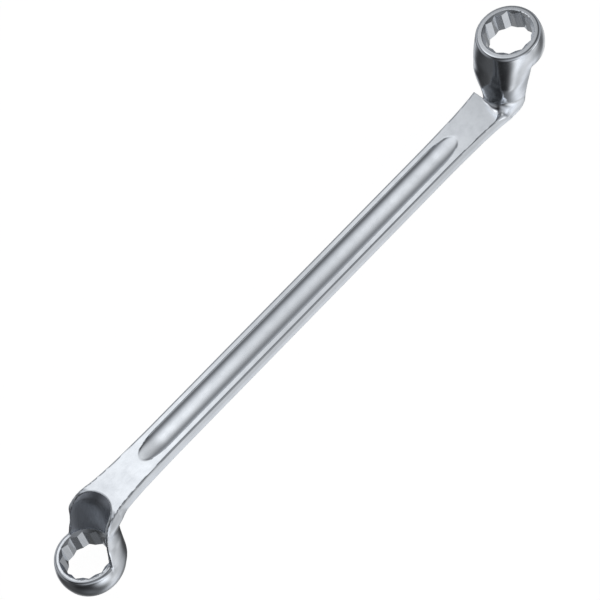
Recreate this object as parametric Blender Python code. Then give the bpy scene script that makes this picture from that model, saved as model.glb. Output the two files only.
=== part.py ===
"""Double-ended, deep-offset 12-point ring spanner, 14 mm x 15 mm.

One drop forging.  It is modelled in the frame of its handle: X along the
handle, Z square to its broad faces, the small ring at +X stepped up and the
large ring at -X stepped down.  The finished body is then pitched by REST_TILT
and lifted, so that it lies on z = 0 as it does on a bench: on the lower edge of
the large ring and on the bend under the small ring.
"""

import math

import bmesh
import bpy
import numpy as np
from mathutils import Matrix, Vector

MM = 0.001

# ---- handle (millimetres) ---------------------------------------------------
HANDLE_W = 12.4          # width over the forging's parting line
HANDLE_T = 4.7           # thickness
EDGE_R = 0.50            # rounding of the handle's long edges
DRAFT = 0.12             # each side face leans in by this from parting line to edge
CENTRES = 211.7          # between the ring axes, along the handle

GROOVE_W = 8.1           # channel in both broad faces
GROOVE_DEPTH = 0.95
GROOVE_X = 74.5          # half length of the channel, over its rounded ends
GROOVE_END = 10.0        # length over which each end runs out

# ---- rings ------------------------------------------------------------------
# af: across flats; rim: radius at the faces; barrel: radius at the waist;
# top: outer face above the handle's middle plane; high: height of the ring;
# lead: outer radius of the lead-in chamfer; shoulder: how far the outside
# reaches out towards the handle by the rim, at the waist and at the inner face
# fillet: inside of the bend between that ring's neck and the handle
# phase: angle of one point of the star; front, wide: the neck's front line from
# the ring axis and its half width, at NECK_KEYS; full: how squarish its plan is,
# 2 for an ellipse, at the foot, from a third up and in the ring
RING_A = dict(af=14.5, phase=15.0, rim=10.70, barrel=11.15, top=25.7, high=9.15, lead=8.70,
              shoulder=(0.4, 1.15, 2.1), fillet=2.7,
              front=(15.5, 15.1, 14.7, 14.3, 13.85, 13.4, 12.85, 11.5),
              wide=(8.45, 8.6, 8.85, 9.2, 9.85, 10.25, 10.45, 10.6), full=(2.0, 2.9, 2.4))
RING_B = dict(af=15.0, phase=23.0, rim=10.65, barrel=11.25, top=24.5, high=9.15, lead=8.90,
              shoulder=(1.25, 1.85, 2.4), fillet=4.6,
              front=(15.4, 15.0, 14.6, 14.25, 13.85, 13.5, 13.1, 11.3),
              wide=(8.6, 8.85, 9.15, 9.45, 9.95, 10.25, 10.4, 10.6), full=(2.0, 2.2, 2.1))
RIM_R = 0.90             # rounding of the ring's rim edges
LEAD_ANGLE = 30.0        # lead-in chamfer, from the ring's face

# ---- neck -------------------------------------------------------------------
LEAN = 15.0              # the neck stands 75 degrees to the handle
FRONT_LEAN = 7.4         # lean of its front at the foot; it tapers towards the ring
NECK_BACK = 2.05         # neck back edges to ring axis, same level
BEND_R = 8.7             # outside of the bend
BEND_W = 7.6             # half width where the bend begins
SHELF = 14.8             # end of the handle's flat top, from the ring axis
LEDGE_R = 9.2            # radius of the hollow where it meets the ring

REST_TILT = 6.7          # pitch of the handle when the spanner lies down, degrees
STEEL = (0.56, 0.57, 0.58, 1.0)


# ---- small helpers ----------------------------------------------------------
def ramp(x, xs, ys):
    """Smooth monotone interpolation through the keys (xs, ys)."""
    xs = np.asarray(xs, float)
    ys = np.asarray(ys, float)
    h = np.diff(xs)
    d = np.diff(ys) / h
    m = np.zeros_like(ys)
    m[0], m[-1] = d[0], d[-1]
    for i in range(1, len(ys) - 1):
        if d[i - 1] * d[i] > 0:
            w1, w2 = 2 * h[i] + h[i - 1], h[i] + 2 * h[i - 1]
            m[i] = (w1 + w2) / (w1 / d[i - 1] + w2 / d[i])
    x = min(max(x, xs[0]), xs[-1])
    i = min(int(np.searchsorted(xs, x, side="right")) - 1, len(h) - 1)
    t = (x - xs[i]) / h[i]
    return float(
        ys[i] * (1 + 2 * t) * (1 - t) ** 2
        + h[i] * m[i] * t * (1 - t) ** 2
        + ys[i + 1] * t * t * (3 - 2 * t)
        + h[i] * m[i + 1] * t * t * (t - 1)
    )


def link(name, bm, cutter=False):
    bmesh.ops.recalc_face_normals(bm, faces=bm.faces)
    mesh = bpy.data.meshes.new(name)
    bm.to_mesh(mesh)
    bm.free()
    ob = bpy.data.objects.new(name, mesh)
    bpy.context.scene.collection.objects.link(ob)
    if cutter:
        ob.hide_render = True
        ob.display_type = "WIRE"
    return ob


def loft(name, loops, cutter=False):
    """Skin over equally long closed loops, with flat ends."""
    bm = bmesh.new()
    rows = [[bm.verts.new(Vector(p) * MM) for p in loop] for loop in loops]
    n = len(rows[0])
    for a, b in zip(rows, rows[1:]):
        for i in range(n):
            j = (i + 1) % n
            bm.faces.new((a[i], a[j], b[j], b[i]))
    bm.faces.new(rows[0])
    bm.faces.new(rows[-1])
    return link(name, bm, cutter)


def boolean(ob, other, operation):
    mod = ob.modifiers.new(other.name, "BOOLEAN")
    mod.object = other
    mod.operation = operation
    mod.solver = "EXACT"


# ---- handle and necks --------------------------------------------------------
CORNER_STEPS = 6


def corner(w, a, d, b, upper, full=2.0):
    """Quarter of an oval from the side (w, .) to the flat (., d)."""
    pts = []
    for i in range(CORNER_STEPS + 1):
        t = 0.5 * math.pi * i / CORNER_STEPS
        c, s = max(math.cos(t), 0.0) ** (2 / full), math.sin(t) ** (2 / full)
        pts.append((w - a + a * c, d - b + b * s))
    return pts if upper else pts[::-1]


def rib_loop(rib):
    """Closed loop of one rib: section in the plane through P_b, P_t and Y."""
    (xt, zt), (xb, zb), w, (at, bt), (ab, bb) = rib[:5]
    full_t, full_b = rib[5:] or (2.0, 2.0)
    depth = math.hypot(xt - xb, zt - zb)
    ux, uz = (xt - xb) / depth, (zt - zb) / depth
    inset = DRAFT * min(1.0, 4.0 / depth)
    top = corner(w - inset, at, depth, bt, True, full_t)
    low = [(y, depth - d) for y, d in corner(w - inset, ab, depth, bb, False, full_b)]
    half = low + [(w, 0.5 * (bb + depth - bt))] + top
    loop = half + [(-y, d) for y, d in reversed(half)]
    return [(xb + ux * d, y, zb + uz * d) for y, d in loop]


class Neck:
    """Side profile of one neck as (xi, z): xi from the ring axis towards the
    middle of the handle, z away from the handle's middle plane to the ring."""

    def __init__(self, ring):
        self.half_t = HANDLE_T / 2
        self.fillet = ring["fillet"]
        self.inner = ring["top"] - ring["high"]
        i = self.inner
        self.keys = (0.0, 3.0, 6.0, 9.0, i - 4.3, i - 1.8, i + 1.2, i + 5.5)
        self.ring = ring
        self.lean_b = math.tan(math.radians(LEAN))
        self.turn_f = math.radians(90.0 - FRONT_LEAN)
        self.turn_b = math.radians(90.0 - LEAN)
        self.front_x = self.front(self.half_t)
        back_x = NECK_BACK + self.lean_b * (self.inner + self.half_t)
        self.arc_x = back_x + BEND_R * math.tan(self.turn_b / 2)

    def back(self, u):
        """Outside of the bend, u = 0 at the handle and 1 at the neck."""
        x = self.arc_x - BEND_R * math.sin(self.turn_b * u)
        return x, -self.half_t + BEND_R * (1 - math.cos(self.turn_b * u))

    def bend_width(self, u):
        top = self.half_t + self.fillet * (1 - math.cos(self.turn_f))
        return ramp(u, (0.0, 0.5, 1.0), (BEND_W, 8.45, self.width(top)))

    def front(self, z):
        return ramp(z, self.keys, self.ring["front"])

    def width(self, z):
        return ramp(z, self.keys, self.ring["wide"])

    def full(self, z):
        return ramp(z, (3.0, 9.0, self.inner - 4.0, self.inner + 1.0), [self.ring["full"][k] for k in (0, 1, 1, 2)])

    def ribs(self):
        """From inside the handle, round the bend and up into the ring."""
        out = [((self.front_x + 3.2, 1.5), (self.arc_x + 1.0, -1.5), 5.6, (4.0, 1.4), (4.0, 1.4))]
        steps = 10
        for k in range(1, steps + 1):
            u = k / steps
            xt = self.front_x + self.fillet * (math.tan(self.turn_f / 2) - math.sin(self.turn_f * u))
            zt = self.half_t + self.fillet * (1 - math.cos(self.turn_f * u))
            xb, zb = self.back(u)
            depth = math.hypot(xt - xb, zt - zb)
            w = self.bend_width(u)
            a = ramp(u, (0.0, 1.0), (0.90 * w, 0.95 * w))
            b = ramp(u, (0.0, 0.3, 1.0), (0.70 * depth, 0.9 * depth, 0.9 * depth))
            out.append(((xt, zt), (xb, zb), w, (a, b), (EDGE_R, EDGE_R)))
        z0t, z0b, z1 = zt, zb, self.inner + 5.0
        steps = 10
        for k in range(1, steps + 1):
            u = k / steps
            zt = z0t + (z1 - z0t) * u
            zb = z0b + (z1 - z0b) * u
            xt = self.front(zt)
            xb = NECK_BACK + self.lean_b * (self.inner - zb)
            depth = xt - xb
            w = self.width(zt)
            out.append(((xt, zt), (xb, zb), w, (0.96 * w, 0.94 * depth), (EDGE_R, EDGE_R), self.full(zt), 2.0))
        return out


def placed(rib, end):
    """A rib in the handle's frame; the far end is turned half a turn about Y."""
    (xt, zt), (xb, zb), w, front, back = rib[:5]
    full = rib[5:]
    x0 = CENTRES / 2
    if end > 0:
        return ((x0 - xt, zt), (x0 - xb, zb), w, front, back) + full
    return ((xb - x0, -zb), (xt - x0, -zt), w, back, front) + full[::-1]


def neck(name, ring, end):
    return loft(name, [rib_loop(placed(rib, end)) for rib in Neck(ring).ribs()], cutter=True)


def handle():
    """Flat bar, wider towards its ends.  Its top ends in a square shelf beside
    the foot of the neck; its underside runs on round the bend."""
    e = EDGE_R
    loops = []
    for end, ring in ((-1, RING_B), (1, RING_A)):
        side = Neck(ring)
        half = []
        for u in (0.3, 0.2, 0.1, 0.0):
            xb, zb = side.back(u)
            w = side.bend_width(u) - 0.05
            half.append(((SHELF - 2.5 * u, side.half_t - 4.5 * u), (xb, zb + 0.05), w, (e, e), (e, e)))
        for xi in (SHELF + 0.6, 16.6, 17.9, 19.4, 21.2, 24.0, 27.3, 31.0, 36.0, 43.6, 70.0):
            w = ramp(xi, (13.8, 15.8, 18.5, 21.8, 27.3, 43.6, 70.0), (BEND_W, 7.3, 7.0, 6.73, 6.45, 6.2, 6.2))
            half.append(((xi, side.half_t), (xi, -side.half_t), w, (e, e), (e, e)))
        half = [rib_loop(placed(rib, end)) for rib in half]
        loops += half if end < 0 else half[::-1]
    return loft("spanner_body", loops)


# ---- rings ------------------------------------------------------------------
def ring_sides(ring, end):
    """z of the outer face, z of the inner face and the sign of outward."""
    if end > 0:
        return ring["top"], ring["top"] - ring["high"], 1.0
    return -ring["top"], -ring["top"] + ring["high"], -1.0


def barrel(name, ring, end):
    """Barrel-shaped blank of a ring, fuller on the side of the handle."""
    zo, zi, s = ring_sides(ring, end)
    mid = 0.5 * (zo + zi)
    half = 0.5 * ring["high"]
    profile = []                                  # (radius, height over the waist)
    for side in (-1, 1):
        pts = []
        for i in range(5):                        # rounded rim edge
            t = 0.5 * math.pi * i / 4
            pts.append((ring["rim"] - RIM_R + RIM_R * math.sin(t), half - RIM_R + RIM_R * math.cos(t)))
        for i in range(1, 5):                     # bulge, down to the waist
            h = (half - RIM_R) * (1 - i / 4)
            r = ring["barrel"] - (ring["barrel"] - ring["rim"]) * (h / (half - RIM_R)) ** 2
            pts.append((r, h))
        if side < 0:
            profile += [(r, -h) for r, h in pts]
        else:
            profile += [(r, h) for r, h in reversed(pts[:-1])]
    near, waist, far = ring["shoulder"]
    loops = []
    for r, h in profile:
        out = ramp(half - h, (0.0, 0.35, 1.2, half, 2 * half), (0.0, 0.45 * near, near, waist, far))
        loop = []
        for i in range(60):
            t = 2 * math.pi * i / 60
            towards = max(0.0, -end * math.cos(t))
            q = r + out * towards**2
            loop.append((end * CENTRES / 2 + q * math.cos(t), q * math.sin(t), mid + s * h))
        loops.append(loop)
    return loft(name, loops, cutter=True)


def star_radius(af, angle):
    """Radius of a 12-point (two hexagons) outline at an angle from one point."""
    step = math.pi / 6
    t = (angle + step / 2) % step - step / 2      # from the nearest point of the star
    return 0.5 * af / math.cos(math.pi / 6 - abs(t))


def socket(name, ring, end):
    """Everything cut on the ring's axis, as one cutter: the outer lead-in cone,
    the 12-point bore, the inner lead-in cone and the hollow behind the neck,
    which leans with the neck and flares where it breaks out of the handle."""
    zo, zi, s = ring_sides(ring, end)
    k = math.tan(math.radians(LEAD_ANGLE))
    n = 72
    phase = math.radians(-end * ring["phase"])
    angles = [phase + 2 * math.pi * i / n for i in range(n)]
    x0 = end * CENTRES / 2

    def circle(r, z, cx=x0):
        return [(cx + r * math.cos(t), r * math.sin(t), z) for t in angles]

    def scallops(z, inward):
        loop = []
        for t in angles:
            r = star_radius(ring["af"], t - phase)
            loop.append((x0 + r * math.cos(t), r * math.sin(t), z + inward * (ring["lead"] - r) * k))
        return loop

    step = 0.12
    loops = [
        circle(ring["lead"] + 0.8, zo + s * 0.8 * k),
        scallops(zo, -s),
        scallops(zi, s),
        circle(ring["lead"] + step / k, zi - s * step),
        circle(LEDGE_R, zi - s * step),
    ]
    high = ring["top"] - ring["high"] + HANDLE_T / 2 - step
    keys = (-3.3, 0.0, 1.75, 3.5, 6.5, 10.9, high)   # from the outside of the bend
    cx = (10.0, 7.3, 5.8, 4.7, 3.3, 2.0, 0.0)
    rr = (9.6, 7.65, 7.6, 7.8, 8.3, 8.7, LEDGE_R)
    for i in range(1, 19):
        h = high - (high + 3.3) * i / 18
        loops.append(circle(ramp(h, keys, rr), end * (h - HANDLE_T / 2), x0 - end * ramp(h, keys, cx)))
    return loft(name, loops, cutter=True)


# ---- groove -----------------------------------------------------------------
def channel(name, side):
    """Shallow round-bottomed channel in one broad face, run out at both ends."""
    steps, arc = 26, 8
    loops = []
    for k in range(steps + 1):
        # stations crowd towards the two ends
        x = -GROOVE_X * math.cos(math.pi * k / steps)
        left = (GROOVE_X - abs(x)) / GROOVE_END
        f = math.sqrt(max(0.0, 1 - (1 - min(1.0, left)) ** 2))
        f = max(f, 0.02)
        half = 0.5 * GROOVE_W * f
        depth = GROOVE_DEPTH * f
        loop = []
        for i in range(arc + 1):
            t = math.pi * i / arc
            y = half * math.cos(t)
            loop.append((x, y, side * (HANDLE_T / 2 - depth * math.sin(t) ** 0.8)))
        loop.append((x, -half * 1.25, side * (HANDLE_T / 2 + 1.0)))
        loop.append((x, half * 1.25, side * (HANDLE_T / 2 + 1.0)))
        loops.append(loop)
    return loft(name, loops, cutter=True)


def chrome():
    mat = bpy.data.materials.new("chrome_plate")
    mat.use_nodes = True
    bsdf = mat.node_tree.nodes["Principled BSDF"]
    bsdf.inputs["Base Color"].default_value = STEEL
    bsdf.inputs["Metallic"].default_value = 1.0
    bsdf.inputs["Roughness"].default_value = 0.18
    return mat


def main():
    for ob in list(bpy.data.objects):
        bpy.data.objects.remove(ob, do_unlink=True)

    body = handle()
    helpers = []
    for end, ring, tag in ((1, RING_A, "a"), (-1, RING_B, "b")):
        helpers.append((neck("neck_" + tag, ring, end), "UNION"))
    for end, ring, tag in ((1, RING_A, "a"), (-1, RING_B, "b")):
        helpers.append((barrel("ring_blank_" + tag, ring, end), "UNION"))
    for end, ring, tag in ((1, RING_A, "a"), (-1, RING_B, "b")):
        helpers.append((socket("socket_" + tag, ring, end), "DIFFERENCE"))
    for side, tag in ((1, "upper"), (-1, "lower")):
        helpers.append((channel("groove_" + tag, side), "DIFFERENCE"))
    for ob, operation in helpers:
        boolean(body, ob, operation)
    body.data.materials.append(chrome())

    # lie it down: pitch about Y, then bring the lowest point to z = 0
    tilt = Matrix.Rotation(math.radians(REST_TILT), 4, "Y")
    for ob in [body] + [h for h, _ in helpers]:
        ob.matrix_world = tilt
    bpy.context.view_layer.update()
    shape = body.evaluated_get(bpy.context.evaluated_depsgraph_get()).to_mesh()
    pts = [tilt @ v.co for v in shape.vertices]
    lift = Vector(
        (
            -0.5 * (min(p.x for p in pts) + max(p.x for p in pts)),
            0.0,
            -min(p.z for p in pts),
        )
    )
    for ob in [body] + [h for h, _ in helpers]:
        ob.matrix_world = Matrix.Translation(lift) @ tilt


main()
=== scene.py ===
import math

import bpy
import numpy as np
from mathutils import Matrix, Vector


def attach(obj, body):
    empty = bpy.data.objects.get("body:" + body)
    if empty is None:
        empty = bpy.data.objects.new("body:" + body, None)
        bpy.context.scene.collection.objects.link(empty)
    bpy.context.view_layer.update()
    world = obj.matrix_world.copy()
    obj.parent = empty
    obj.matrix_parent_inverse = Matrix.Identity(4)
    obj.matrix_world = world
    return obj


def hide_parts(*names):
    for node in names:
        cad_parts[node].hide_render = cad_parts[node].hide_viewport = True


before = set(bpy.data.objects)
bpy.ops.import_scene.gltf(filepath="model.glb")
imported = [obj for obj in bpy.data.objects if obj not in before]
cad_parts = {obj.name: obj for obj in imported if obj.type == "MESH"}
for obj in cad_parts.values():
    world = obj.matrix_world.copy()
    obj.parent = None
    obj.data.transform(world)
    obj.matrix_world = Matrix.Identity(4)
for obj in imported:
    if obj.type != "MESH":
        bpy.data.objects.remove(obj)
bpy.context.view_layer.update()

# All lengths of the shape are millimetres in the frame of the handle: X along it,
# Z square to its broad faces, origin in its middle.
HANDLE_T = 4.7
EDGE_R = 0.55
DRAFT = 0.12
CENTRES = 211.7
GROOVE_W = 8.1
GROOVE_DEPTH = 0.95
GROOVE_X = 74.5
GROOVE_END = 10.0
RING_A = dict(af=14.5, phase=15.0, rim=10.70, barrel=11.15, top=25.7, high=9.15, lead=8.70, fillet=3.0, notch=True,
              front=(15.45, 15.1, 14.7, 14.3, 13.85, 13.4, 12.85, 11.95, 10.75),
              wide=(8.2, 8.3, 8.7, 9.2, 9.85, 10.35, 10.8, 11.05, 10.7),
              full=(2.0, 2.05, 2.35, 2.8, 3.0, 2.65, 2.4, 2.2, 2.05))
RING_B = dict(af=15.0, phase=23.0, rim=10.65, barrel=11.25, top=24.5, high=9.15, lead=8.90, fillet=4.6, notch=False,
              front=(15.4, 15.0, 14.6, 14.25, 13.85, 13.6, 13.35, 13.0, 11.5),
              wide=(8.6, 8.85, 9.15, 9.45, 9.95, 10.4, 10.8, 11.15, 10.65),
              full=(2.2, 2.2, 2.2, 2.2, 2.2, 2.15, 2.1, 2.1, 2.05))
RIM_R = 1.05
LEAD_ANGLE = 30.0
LEAN = 15.0
NECK_BACK = 2.05
BEND_R = 8.7
BEND_W = 7.6
SHELF = 14.8
LEDGE_R = 9.2
REST_TILT = 6.7

HALF_T = HANDLE_T / 2
X0 = CENTRES / 2


# ---- building blocks of the shape -------------------------------------------
def ramp(x, xs, ys):
    """Smooth monotone interpolation through the keys (xs, ys), on arrays."""
    xs = np.asarray(xs, float)
    ys = np.asarray(ys, float)
    h = np.diff(xs)
    d = np.diff(ys) / h
    m = np.zeros_like(ys)
    m[0], m[-1] = d[0], d[-1]
    for i in range(1, len(ys) - 1):
        if d[i - 1] * d[i] > 0:
            w1, w2 = 2 * h[i] + h[i - 1], h[i] + 2 * h[i - 1]
            m[i] = (w1 + w2) / (w1 / d[i - 1] + w2 / d[i])
    x = np.clip(x, xs[0], xs[-1])
    i = np.clip(np.searchsorted(xs, x, side="right") - 1, 0, len(h) - 1)
    t = (x - xs[i]) / h[i]
    return (
        ys[i] * (1 + 2 * t) * (1 - t) ** 2
        + h[i] * m[i] * t * (1 - t) ** 2
        + ys[i + 1] * t * t * (3 - 2 * t)
        + h[i] * m[i + 1] * t * t * (t - 1)
    )


def meet(a, b, r):
    """Intersection of two solids (negative inside) with a rounded edge."""
    return np.minimum(np.maximum(a, b), -r) + np.hypot(np.maximum(a + r, 0), np.maximum(b + r, 0))


def join(a, b, r):
    """Union of two solids with a fillet of radius r."""
    return np.maximum(np.minimum(a, b), r) - np.hypot(np.maximum(r - a, 0), np.maximum(r - b, 0))


def melt(a, b, k):
    """Union of two solids that flow into each other over a width k."""
    h = np.maximum(k - np.abs(a - b), 0) / k
    return np.minimum(a, b) - h * h * h * k / 6


def smooth(t):
    t = np.clip(t, 0.0, 1.0)
    return t * t * (3 - 2 * t)


def star(u, v, af, phase):
    """12-point outline, one point of the star at the angle phase."""
    step = math.pi / 6
    t = (np.arctan2(v, u) - math.radians(phase) + step / 2) % step - step / 2
    return np.hypot(u, v) * np.cos(math.pi / 6 - np.abs(t)) - af / 2


def end_shape(xi, y, z, ring, zones=False):
    """One end of the spanner: negative inside.  xi runs from the ring's axis to
    the middle of the handle, z from the handle's middle plane to the ring."""
    top, high = ring["top"], ring["high"]
    inner = top - high
    mid = top - high / 2
    tan_b = math.tan(math.radians(LEAN))
    cos_b, sin_b = math.cos(math.radians(LEAN)), math.sin(math.radians(LEAN))
    turn_b = math.radians(90.0 - LEAN)
    arc_x = NECK_BACK + tan_b * (inner + HALF_T) + BEND_R * math.tan(turn_b / 2)

    # outside of the bend: the handle's underside, an arc, the leaning back
    dx, dz = xi - arc_x, z - (BEND_R - HALF_T)
    lean_line = -((xi - NECK_BACK) * cos_b + (z - inner) * sin_b)
    under = -HALF_T - z
    in_arc = (dx < 0) & (dx * math.tan(math.radians(LEAN)) - dz > 0)
    back = np.where(in_arc, np.hypot(dx, dz) - BEND_R, np.maximum(lean_line, under))

    # front: a half oval in plan, squarish at the handle and round at the rim,
    # standing on the leaning back; it carries the neck and the ring's near side
    keys = (0.0, 3.0, 6.0, 9.0, inner - 4.3, inner - 1.8, inner + 1.2, mid, top - 0.5)
    xc = np.maximum(NECK_BACK + tan_b * (inner - z), 0.0)
    depth = np.maximum(ramp(z, keys, ring["front"]) - xc, 2.0)
    wide = ramp(z, keys, ring["wide"])
    cave = 1.0
    if ring["notch"]:
        wide = wide * (1 - 0.09 * smooth((y + 2.0) / 10.0) * smooth((10.0 - z) / 6.0))
        cave = 0.9
    n = ramp(z, keys, ring["full"])
    u = np.maximum((xi - xc) / depth, 0.0)
    v = np.abs(y) / (wide * (1 - 0.03 * np.maximum(1 - u, 0.0) ** 2))
    q = (u**n + v**n) ** (1 / n) + 1e-9
    front = (q - 1.0) * q ** (n - 1) / (np.hypot(u ** (n - 1) / depth, v ** (n - 1) / wide) + 1e-9)

    # handle, widening towards the end; it runs on into the neck, but on one side of
    # a notched end it stops in a square shelf
    half_w = ramp(
        xi,
        (7.0, 10.5, 13.8, 15.8, 18.5, 21.8, 27.3, 43.6, 70.0),
        (8.3, 7.95, BEND_W, 7.3, 7.0, 6.73, 6.45, 6.2, 6.2),
    )
    plain = smooth(-y / 3.0) if ring["notch"] else 1.0
    half_w = half_w - (0.13 if ring["notch"] else 0.24) * plain * np.clip(13.8 - xi, 0.0, 6.0)
    side = np.abs(y) - half_w + DRAFT * np.abs(z) / HALF_T
    edge_r = EDGE_R + 3.0 * plain * smooth((19.5 - xi) / 6.0) if ring["notch"] else EDGE_R
    bar = np.maximum(meet(side, z - HALF_T, edge_r), -xi)
    over = xi + 14.0 * plain
    shelf = -0.97 * (over - SHELF) + 0.243 * (z - HALF_T)

    # ring
    rho = np.hypot(xi, y)
    half = high / 2
    h = z - mid
    bulge = ring["barrel"] - (ring["barrel"] - ring["rim"]) * np.minimum(np.abs(h) / (half - RIM_R), 1.0) ** 2
    blank = meet(rho - bulge, inner - z, RIM_R)

    # the foot of the neck runs out on the handle's flat in a fillet
    r = ring["fillet"] * (0.45 + 0.55 * smooth((z + HALF_T) / 4.5))
    if ring["notch"]:
        r = r * (1 - 0.75 * smooth((y + 5.0) / 5.5))
    foot = np.minimum(front, meet(join(front, bar, r), shelf, 0.25))
    body = meet(foot, back, EDGE_R)
    body = meet(melt(body, blank, 0.8), z - top, RIM_R)

    # hollow behind the neck, flaring where it breaks out of the handle
    level = z + HALF_T
    total = inner + HALF_T - 0.12
    keys = (-3.3, 0.0, 1.75, 3.5, 6.5, 10.9, total)
    cxs = (10.0, 7.3, 5.8, 4.7, 3.3, 2.0, 0.0)
    rrs = (9.6, 7.65, 7.6, 7.8, 8.3, 8.7, LEDGE_R)
    rrs = [cave * v for v in rrs[:-1]] + [rrs[-1]]
    cx, rr = ramp(level, keys, cxs), ramp(level, keys, rrs)
    e = 0.05
    dcx = (ramp(level + e, keys, cxs) - ramp(level - e, keys, cxs)) / (2 * e)
    drr = (ramp(level + e, keys, rrs) - ramp(level - e, keys, rrs)) / (2 * e)
    away = np.hypot(xi - cx, y)
    slope = dcx * (xi - cx) / (away + 1e-9) + drr
    hollow = (away - rr) / np.sqrt(1 + slope * slope)
    hollow = np.maximum(hollow, level - total)
    body = meet(body, -hollow, 0.30)

    # 12-point bore and its lead-in cones
    bore = np.maximum(star(xi, y, ring["af"], ring["phase"]), inner - 0.6 - z)
    ka, kb = math.sin(math.radians(LEAD_ANGLE)), math.cos(math.radians(LEAD_ANGLE))
    mouth = ka * (rho - ring["lead"]) + kb * (top - z)
    inside = np.maximum(ka * (rho - ring["lead"]) + kb * (z - inner), inner - 0.12 - z)
    if zones:
        return np.abs(hollow), np.abs(np.minimum(bore, np.minimum(mouth, inside)))
    return np.maximum(body, -np.minimum(bore, np.minimum(mouth, inside)))


def groove_depth(x, y):
    left = (GROOVE_X - np.abs(x)) / GROOVE_END
    f = np.sqrt(np.maximum(1 - (1 - np.clip(left, 0.0, 1.0)) ** 2, 0.0))
    t = np.abs(y) / (0.5 * GROOVE_W * f + 1e-9)
    depth = GROOVE_DEPTH * smooth(0.12 + 0.88 * left) * np.sqrt(np.maximum(1 - t * t, 0.0)) ** 0.8
    return np.where(t < 1.0, depth, -1e3)


def shape(x, y, z):
    """The whole spanner; the far end is the near one turned half a turn about Y."""
    x, y, z = np.broadcast_arrays(x, y, z)
    out = np.empty(x.shape)
    near = x[(slice(None),) + (0,) * (x.ndim - 1)] >= 0
    for pick, s, ring in ((near, 1.0, RING_A), (~near, -1.0, RING_B)):
        if pick.any():
            out[pick] = end_shape(X0 - s * x[pick], y[pick], s * z[pick], ring)
    floor = HALF_T - groove_depth(x, y)
    return np.maximum(out, np.where(np.abs(x) < GROOVE_X, (np.abs(z) - floor) * 0.95, -1e3))


def zones_at(p):
    """How far each point is from the hollow's wall and from the bore's."""
    out = np.full((2, len(p)), 9.0)
    for s, ring in ((1.0, RING_A), (-1.0, RING_B)):
        near = s * p[:, 0] > X0 - 16.0
        q = p[near]
        out[:, near] = end_shape(X0 - s * q[:, 0], q[:, 1], s * q[:, 2], ring, zones=True)
    return out


def shape_at(p):
    return shape(p[:, 0], p[:, 1], p[:, 2])


def slopes_at(p, e=0.012):
    g = np.empty_like(p)
    for a in range(3):
        d = np.zeros(3)
        d[a] = e
        g[:, a] = shape_at(p + d) - shape_at(p - d)
    return g / (np.linalg.norm(g, axis=1, keepdims=True) + 1e-12)


# ---- skin of the shape ------------------------------------------------------
def stations(*parts):
    """Grid lines from (start, end, step) runs that follow each other."""
    out = [np.array([parts[0][0]])]
    for a, b, step in parts:
        n = max(1, int(round((b - a) / step)))
        out.append(a + (b - a) * np.arange(1, n + 1) / n)
    return np.concatenate(out)


def skin(xs, ys, zs):
    """Quads on the zero level of the shape.  One point per cell, placed where the
    surface's tangent planes in that cell meet, so that edges stay crisp."""
    vals = np.empty((len(xs), len(ys), len(zs)))
    for i in range(0, len(xs), 24):
        vals[i : i + 24] = shape(xs[i : i + 24, None, None], ys[None, :, None], zs[None, None, :])
    axes = (xs, ys, zs)
    cross, normal, cells, flips = [], [], [], []
    sizes = np.array(vals.shape)
    for axis in range(3):
        lo = [slice(None)] * 3
        hi = [slice(None)] * 3
        lo[axis], hi[axis] = slice(None, -1), slice(1, None)
        a, b = vals[tuple(lo)], vals[tuple(hi)]
        idx = np.argwhere((a < 0) != (b < 0))
        fa, fb = a[tuple(idx.T)], b[tuple(idx.T)]
        p = np.stack([axes[k][idx[:, k]] for k in range(3)], 1)
        ta = axes[axis][idx[:, axis]].copy()
        tb = axes[axis][idx[:, axis] + 1].copy()
        rise = fa < 0
        for step in range(7):
            t = ta + (tb - ta) * fa / (fa - fb) if step % 3 != 2 else 0.5 * (ta + tb)
            p[:, axis] = t
            f = shape_at(p)
            same = (f < 0) == (fa < 0)
            ta, fa = np.where(same, t, ta), np.where(same, f, fa)
            tb, fb = np.where(same, tb, t), np.where(same, fb, f)
        p[:, axis] = ta + (tb - ta) * fa / (fa - fb + (fa == fb))
        cross.append(p)
        normal.append(slopes_at(p))
        u, v = (axis + 1) % 3, (axis + 2) % 3
        around = []
        for du, dv in ((-1, -1), (0, -1), (0, 0), (-1, 0)):
            c = idx.copy()
            c[:, u] += du
            c[:, v] += dv
            around.append((c[:, 0] * sizes[1] + c[:, 1]) * sizes[2] + c[:, 2])
        cells.append(np.stack(around, 1))
        flips.append(~rise)
    cross, normal = np.concatenate(cross), np.concatenate(normal)
    cells, flips = np.concatenate(cells), np.concatenate(flips)
    keys, where = np.unique(cells, return_inverse=True)
    where = where.reshape(cells.shape)
    n = len(keys)

    def gather(values):
        return sum(np.bincount(where[:, k], values, n) for k in range(4))

    count = gather(np.ones(len(cross)))
    mean = np.stack([gather(cross[:, a]) / count for a in range(3)], 1)
    # tangent planes, measured from each cell's mean crossing
    m = np.zeros((n, 3, 3))
    rhs = np.zeros((n, 3))
    for k in range(4):
        off = np.einsum("ij,ij->i", normal, cross - mean[where[:, k]])
        for a in range(3):
            rhs[:, a] += np.bincount(where[:, k], normal[:, a] * off, n)
            for b in range(3):
                m[:, a, b] += np.bincount(where[:, k], normal[:, a] * normal[:, b], n)
    m += np.eye(3) * 0.03 * count[:, None, None]
    points = mean + np.linalg.solve(m, rhs[:, :, None])[:, :, 0]
    at = np.stack(np.unravel_index(keys, sizes), 1)
    for a in range(3):
        low, high = axes[a][at[:, a]], axes[a][at[:, a] + 1]
        pad = 0.02 * (high - low)
        points[:, a] = np.clip(points[:, a], low - pad, high + pad)
    quads = where.copy()
    quads[flips] = quads[flips][:, ::-1]
    return points, quads


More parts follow.
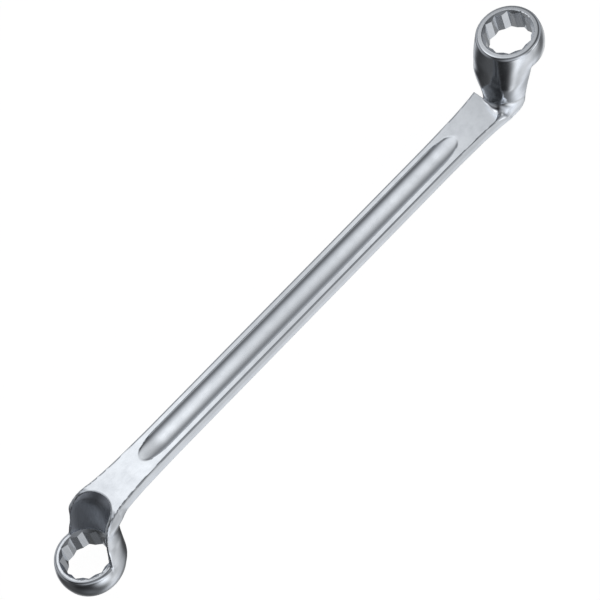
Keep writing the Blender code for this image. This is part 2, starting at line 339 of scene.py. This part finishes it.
def grid_mesh(name, points, quads):
    mesh = bpy.data.meshes.new(name)
    mesh.vertices.add(len(points))
    mesh.vertices.foreach_set("co", points.astype(np.float32).ravel())
    mesh.loops.add(4 * len(quads))
    mesh.loops.foreach_set("vertex_index", quads.astype(np.int32).ravel())
    mesh.polygons.add(len(quads))
    mesh.polygons.foreach_set("loop_start", np.arange(0, 4 * len(quads), 4, dtype=np.int32))
    mesh.update(calc_edges=True)
    mesh.validate()
    return mesh


FINE = 0.30
xs = stations(
    (-119.0, -86.5, FINE), (-86.5, -80.0, 0.5), (-80.0, -75.0, 0.8), (-75.0, -64.0, 0.45),
    (-64.0, -0.7, 1.5), (-0.7, 0.7, 1.4), (0.7, 64.0, 1.5), (64.0, 75.0, 0.45),
    (75.0, 80.0, 0.8), (80.0, 86.5, 0.5), (86.5, 119.0, FINE),
)
ys = stations((-11.75, 11.75, FINE))
zs = stations((-25.1, 26.3, FINE))
points, quads = skin(xs, ys, zs)

hollow_gap, bore_gap = zones_at(points)
in_bore = bore_gap < 0.06
in_hollow = (hollow_gap < 0.09) & ~in_bore

# ---- lie it down as the CAD does --------------------------------------------
tilt = math.radians(REST_TILT)
cs, sn = math.cos(tilt), math.sin(tilt)
points = np.stack(
    [points[:, 0] * cs + points[:, 2] * sn, points[:, 1], -points[:, 0] * sn + points[:, 2] * cs], 1
)
lift = np.array([-0.0367, 0.0, 13.1332])
points = (points + lift) * 0.001

spanner = bpy.data.objects.new("ring_spanner", grid_mesh("ring_spanner", points, quads))
bpy.context.scene.collection.objects.link(spanner)
spanner.data.shade_smooth()
spanner.data.set_sharp_from_angle(angle=math.radians(26.0))
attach(spanner, "root")
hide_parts("spanner_body")


# the hollow's mask sets its rougher, pitted forged finish and also its painted shade, a darker base colour
for label, inside in (("forged_and_shade", in_hollow), ("broached", in_bore)):
    attribute = spanner.data.attributes.new(label, "FLOAT", "POINT")
    attribute.data.foreach_set("value", inside.astype(np.float32))


# ---- materials --------------------------------------------------------------
class Nodes:
    """A small helper that adds nodes and links them by value or by socket."""

    def __init__(self, tree):
        self.tree = tree

    def add(self, kind, inputs=(), **settings):
        node = self.tree.nodes.new(kind)
        for key, value in settings.items():
            setattr(node, key, value)
        for key, value in dict(inputs).items():
            if isinstance(value, bpy.types.NodeSocket):
                self.tree.links.new(value, node.inputs[key])
            else:
                node.inputs[key].default_value = value
        return node

    def math(self, operation, *values):
        return self.add("ShaderNodeMath", dict(enumerate(values)), operation=operation).outputs[0]

    def vector(self, operation, *values):
        node = self.add("ShaderNodeVectorMath", dict(enumerate(values)), operation=operation)
        return node.outputs["Value" if operation in ("DOT_PRODUCT", "LENGTH") else 0]

    def noise(self, where, scale, detail=2.0, rough=0.5):
        node = self.add("ShaderNodeTexNoise", {"Vector": where, "Scale": scale, "Detail": detail, "Roughness": rough})
        return node.outputs[0]

    def remap(self, value, low, high, to_low, to_high):
        node = self.add("ShaderNodeMapRange", {0: value, 1: low, 2: high, 3: to_low, 4: to_high})
        return node.outputs[0]


def chrome():
    """Chrome plate over a ground and polished forging: lightly cloudy, with fine
    lines along the handle, rougher where the metal was only forged or broached."""
    mat = bpy.data.materials.new("chrome_plate")
    mat.use_nodes = True
    n = Nodes(mat.node_tree)
    bsdf = mat.node_tree.nodes["Principled BSDF"]
    bsdf.inputs["Metallic"].default_value = 1.0
    place = n.add("ShaderNodeTexCoord").outputs["Object"]
    forged_and_shade = n.add("ShaderNodeAttribute", attribute_name="forged_and_shade").outputs["Fac"]
    broached = n.add("ShaderNodeAttribute", attribute_name="broached").outputs["Fac"]
    along = n.add("ShaderNodeMapping", {"Vector": place, "Scale": (0.06, 1.0, 1.0)}).outputs[0]
    upright = n.add("ShaderNodeMapping", {"Vector": place, "Scale": (1.0, 1.0, 0.05)}).outputs[0]
    cloud = n.noise(place, 260.0, 4.0, 0.6)
    grain = n.noise(place, 2600.0, 3.0, 0.6)
    lines = n.noise(along, 4200.0, 3.0, 0.7)
    cuts = n.noise(upright, 2600.0, 2.0, 0.6)
    pits = n.noise(place, 900.0, 3.0, 0.65)

    # colour: plating a touch warmer and duller in its clouds; in the hollow the colour is darkened as painted shade
    tone = n.remap(cloud, 0.35, 0.68, 0.0, 1.0)
    tint = n.add("ShaderNodeMix", {0: tone, 6: (0.80, 0.835, 0.88, 1), 7: (0.745, 0.78, 0.825, 1)}, data_type="RGBA").outputs[2]
    # painted shade: the hollow's plating is darkened to a dark grey
    tint_and_hollow_shade = n.add("ShaderNodeMix", {0: forged_and_shade, 6: tint, 7: (0.43, 0.455, 0.50, 1)}, data_type="RGBA").outputs[2]
    n.tree.links.new(tint_and_hollow_shade, bsdf.inputs["Base Color"])

    # roughness: clouds and lines on the polish, more on forged and broached metal
    polish = n.math("ADD", n.remap(cloud, 0.3, 0.7, 0.08, 0.15), n.remap(lines, 0.35, 0.65, 0.0, 0.05))
    rough = n.math("ADD", polish, n.math("MULTIPLY", broached, n.remap(cuts, 0.3, 0.7, 0.03, 0.10)))
    rough = n.math("ADD", rough, n.math("MULTIPLY", forged_and_shade, n.remap(pits, 0.3, 0.7, 0.20, 0.32)))
    n.tree.links.new(rough, bsdf.inputs["Roughness"])

    # relief, in metres
    polish_h = n.math("ADD", n.math("MULTIPLY", n.noise(place, 120.0, 1.5, 0.4), 0.000016), n.math("MULTIPLY", grain, 0.0000012))
    cut_h = n.math("MULTIPLY", n.math("MULTIPLY", cuts, broached), 0.000012)
    pit_h = n.math("MULTIPLY", n.math("MULTIPLY", pits, forged_and_shade), 0.00004)
    height = n.math("ADD", polish_h, n.math("ADD", cut_h, pit_h))
    bump = n.add("ShaderNodeBump", {"Strength": 1.0, "Distance": 1.0, "Height": height})
    n.tree.links.new(bump.outputs[0], bsdf.inputs["Normal"])
    return mat


spanner.data.materials.append(chrome())

# ---- floor ------------------------------------------------------------------
floor_mesh = bpy.data.meshes.new("floor")
floor_z = -0.00012  # just clear of the rim that it carries
floor_mesh.from_pydata([(-3, -3, floor_z), (3, -3, floor_z), (3, 3, floor_z), (-3, 3, floor_z)], [], [(0, 1, 2, 3)])
floor = bpy.data.objects.new("floor", floor_mesh)
bpy.context.scene.collection.objects.link(floor)
floor_mat = bpy.data.materials.new("floor_light_table")
floor_mat.use_nodes = True
table = floor_mat.node_tree.nodes["Principled BSDF"]
table.inputs["Base Color"].default_value = (0.22, 0.22, 0.22, 1)
table.inputs["Roughness"].default_value = 1.0
table.inputs["Specular IOR Level"].default_value = 0.0
table.inputs["Emission Color"].default_value = (1, 1, 1, 1)
table.inputs["Emission Strength"].default_value = 0.96
floor.data.materials.append(floor_mat)
floor.visible_glossy = False

# ---- camera -----------------------------------------------------------------
cam_data = bpy.data.cameras.new("camera")
cam_data.sensor_width = 36.0
cam_data.lens = 240.0
cam = bpy.data.objects.new("camera", cam_data)
bpy.context.scene.collection.objects.link(cam)
right = Vector((0.6498255, -0.70288257, -0.28927998))
down = Vector((-0.74647135, -0.51845532, -0.41711462))
ahead = Vector((0.14320386, 0.48699093, -0.86158719))
cam.matrix_world = Matrix.Translation(Vector((-0.18424676, -0.62480889, 1.11923264))) @ Matrix(
    (
        (right.x, -down.x, -ahead.x),
        (right.y, -down.y, -ahead.y),
        (right.z, -down.z, -ahead.z),
    )
).to_4x4()
bpy.context.scene.camera = cam

# ---- studio -----------------------------------------------------------------
# Soft sources: azimuth and height in degrees, spread in degrees, level.  The sky
# ones are far away; the panels stand on a circle of PANEL_R around the spanner.
AMBIENT = 0.000
SKY = (
    (-105.6, -18.6, 12.2, 0.874),
    (-101.7, 10.9, 10.9, 0.889),
    (-82.0, -75.0, 10.5, 0.692),
    (98.3, -49.3, 8.7, 0.630),
    (103.9, 65.3, 8.7, 0.626),
    (77.4, 8.9, 22.2, 0.479),
    (39.9, 67.3, 9.0, 0.323),
    (117.5, 19.5, 13.9, 0.201),
    (-114.1, 66.0, 15.3, 0.179),
    (-34.2, 72.5, 15.4, 0.156),
    (-153.9, -52.0, 13.3, 0.129),
)
# broad and weak, for what faces away from the photo's camera
FILL = (
    (5.0, -8.0, 24.0, 0.42),
    (-30.0, 6.0, 18.0, 0.28),
    (-118.0, 25.0, 15.0, 0.35),
    (108.0, 3.0, 12.0, 0.25),
    (-142.0, 20.0, 18.0, 0.30),
    (142.0, 4.0, 18.0, 0.25),
    (-62.0, 4.0, 16.0, 0.25),
)
PANELS = (
    (-45.6, -14.8, 10.0, 1.126),
    (78.4, 61.0, 8.3, 0.991),
    (40.5, 49.5, 8.3, 0.778),
    (11.6, -49.1, 8.9, 0.754),
    (-109.6, -27.2, 11.3, 0.693),
    (-46.4, 26.1, 8.3, 0.670),
    (-66.1, -50.3, 16.3, 0.490),
    (-108.3, -51.4, 8.3, 0.521),
    (141.2, -68.6, 9.4, 0.442),
    (-76.3, 39.3, 10.3, 0.410),
    (-69.6, -34.8, 10.1, 0.372),
    (144.4, 32.0, 8.5, 0.161),
    (153.2, -43.7, 9.2, 0.103),
    (169.8, -24.0, 8.3, 0.048),
    (139.1, -6.7, 8.3, 0.021),
)
PANEL_R = 0.38
CENTRE = Vector((0.0, 0.0, 0.012))


def towards(azimuth, height):
    a, h = math.radians(azimuth), math.radians(height)
    return Vector((math.cos(h) * math.cos(a), math.cos(h) * math.sin(a), math.sin(h)))


def glow(n, cosine, spread, level):
    """level * exp((cosine - 1) / spread^2)"""
    fall = n.math("MULTIPLY", n.math("SUBTRACT", cosine, 1.0), 1.0 / math.radians(spread) ** 2)
    return n.math("MULTIPLY", n.math("EXPONENT", fall), level)


world = bpy.data.worlds.new("studio")
bpy.context.scene.world = world
world.use_nodes = True
n = Nodes(world.node_tree)
look = n.vector("NORMALIZE", n.add("ShaderNodeTexCoord").outputs["Generated"])
total = AMBIENT
for azimuth, height, spread, level in SKY + FILL:
    total = n.math("ADD", glow(n, n.vector("DOT_PRODUCT", look, towards(azimuth, height)), spread, level), total)
background = world.node_tree.nodes["Background"]
background.inputs["Color"].default_value = (0.97, 0.99, 1.03, 1)
world.node_tree.links.new(total, background.inputs["Strength"])

for k, (azimuth, height, spread, level) in enumerate(PANELS):
    aim = towards(azimuth, height)
    reach = PANEL_R * math.tan(min(math.radians(spread) * 3.2, math.radians(60.0)))
    mesh = bpy.data.meshes.new("panel_%d" % k)
    mesh.from_pydata(
        [(reach * math.cos(t * math.pi / 24), reach * math.sin(t * math.pi / 24), 0.0) for t in range(48)],
        [], [tuple(range(48))],
    )
    panel = bpy.data.objects.new("panel_%d" % k, mesh)
    bpy.context.scene.collection.objects.link(panel)
    panel.matrix_world = Matrix.Translation(CENTRE + PANEL_R * aim) @ aim.to_track_quat("Z", "Y").to_matrix().to_4x4()
    mat = bpy.data.materials.new("panel_%d" % k)
    mat.use_nodes = True
    mat.node_tree.nodes.clear()
    n = Nodes(mat.node_tree)
    off = n.vector("LENGTH", n.add("ShaderNodeTexCoord").outputs["Object"])
    slant = n.math("SQRT", n.math("ADD", n.math("MULTIPLY", off, off), PANEL_R**2))
    cosine = n.math("DIVIDE", PANEL_R, slant)
    lit = n.add("ShaderNodeEmission", {"Strength": glow(n, cosine, spread, level)})
    clear = n.add("ShaderNodeBsdfTransparent")
    both = n.add("ShaderNodeAddShader", {0: lit.outputs[0], 1: clear.outputs[0]})
    n.add("ShaderNodeOutputMaterial", {"Surface": both.outputs[0]})
    mat.cycles.emission_sampling = "NONE"
    panel.data.materials.append(mat)
    panel.visible_camera = panel.visible_diffuse = panel.visible_shadow = panel.visible_transmission = False
bpy.context.scene.view_settings.view_transform = "Standard"
